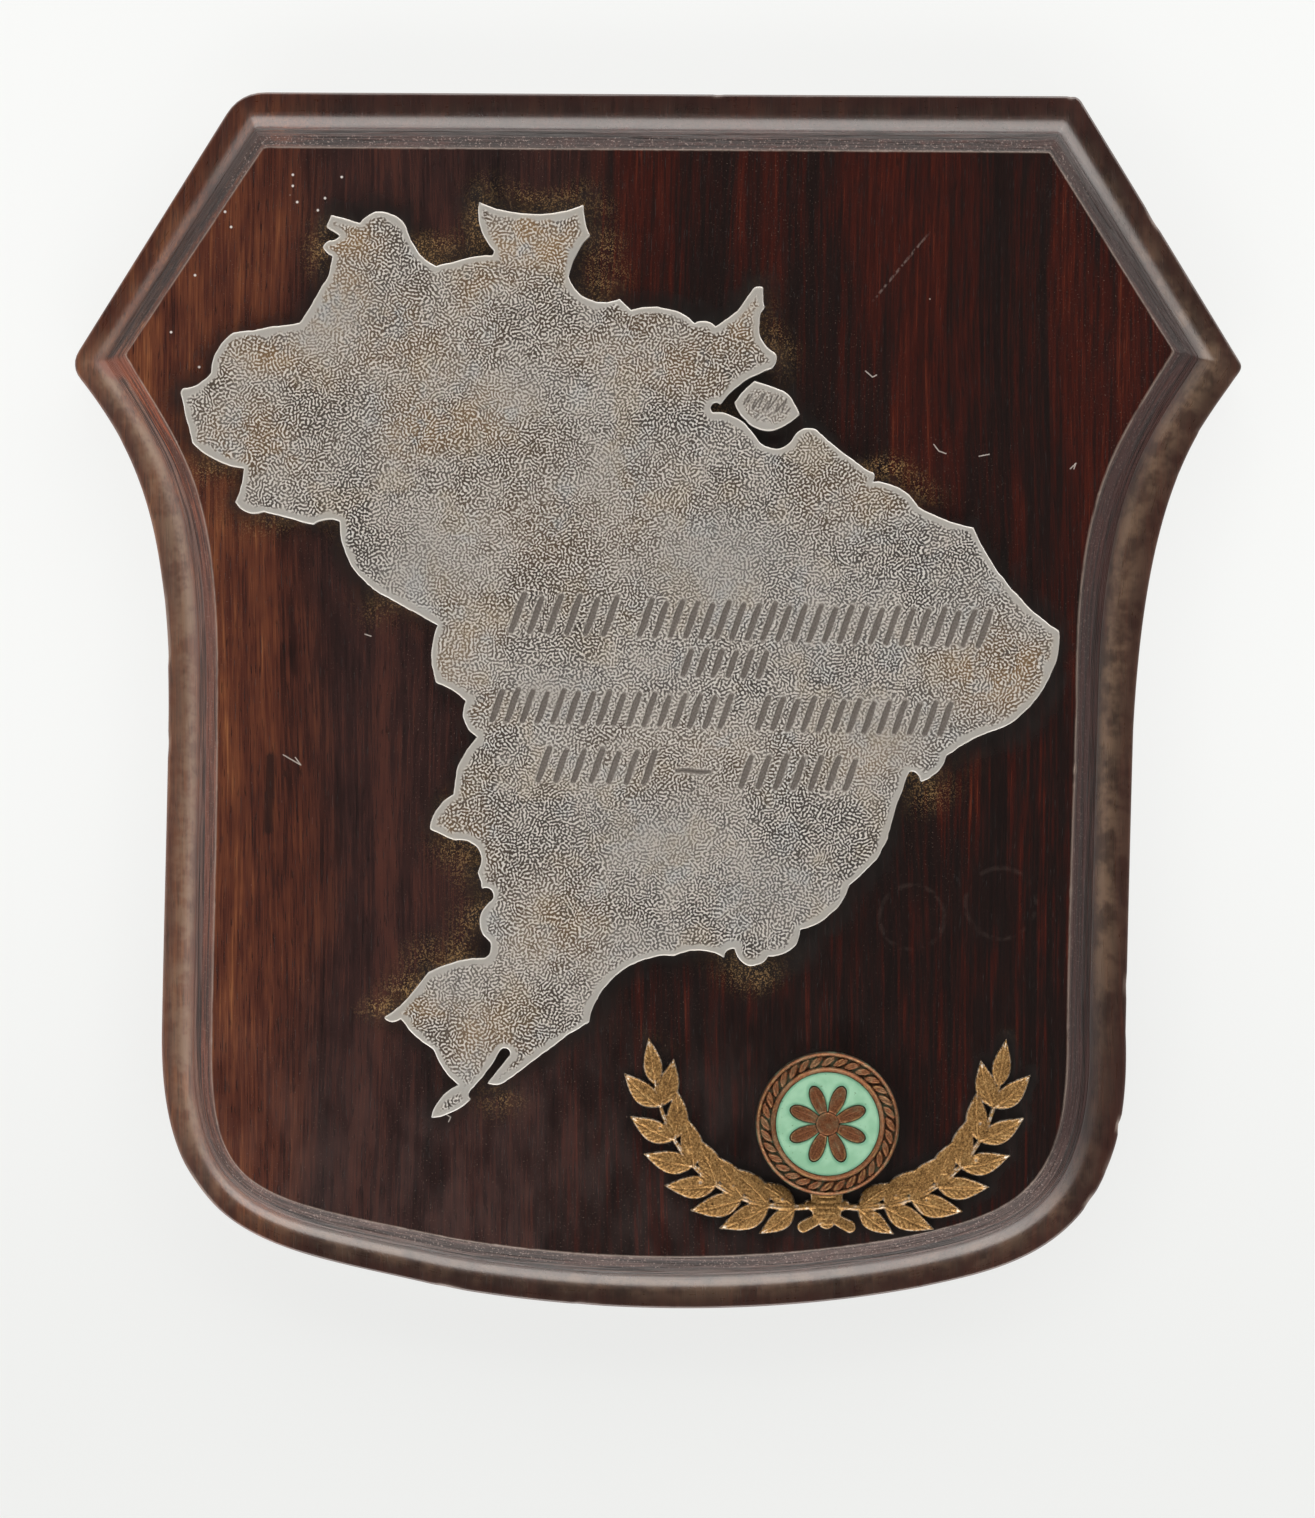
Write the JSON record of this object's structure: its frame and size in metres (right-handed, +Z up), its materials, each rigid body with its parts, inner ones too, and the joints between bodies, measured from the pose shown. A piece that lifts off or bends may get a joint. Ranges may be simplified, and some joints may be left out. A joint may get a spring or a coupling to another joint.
{
  "type": "commemorative plaque",
  "caption": "Shield-shaped wall plaque of dark mahogany with a routed edge, carrying an etched metal map plate, a small island plate and a gilt laurel spray with an enamelled medallion",
  "frame": {"origin": "middle of the flat back face of the board, on the wall", "axes": "+Z up the wall, +X to the viewer's right, -Y out of the wall towards the viewer, +Y into the wall"},
  "size_m": [0.2334, 0.0232, 0.243],
  "materials": {
    "mahogany": "dark stained and lacquered mahogany with vertical grain, worn and dusty",
    "etched_metal": "silver-grey metal, etched all over with a smooth rim, brown residue in the recesses",
    "gilt_metal": "matt ochre gilding, speckled, worn to silver-white on the edges",
    "copper": "brown copper with grey-green verdigris in the hollows",
    "mint_enamel": "glossy opaque mint-green enamel"
  },
  "bodies": {
    "root": {"shield_board": "mahogany", "map_plate": "etched_metal", "island_plate": "etched_metal", "laurel_spray": "gilt_metal", "medallion": "copper", "medallion_enamel": "mint_enamel"}
  },
  "joints": []
}
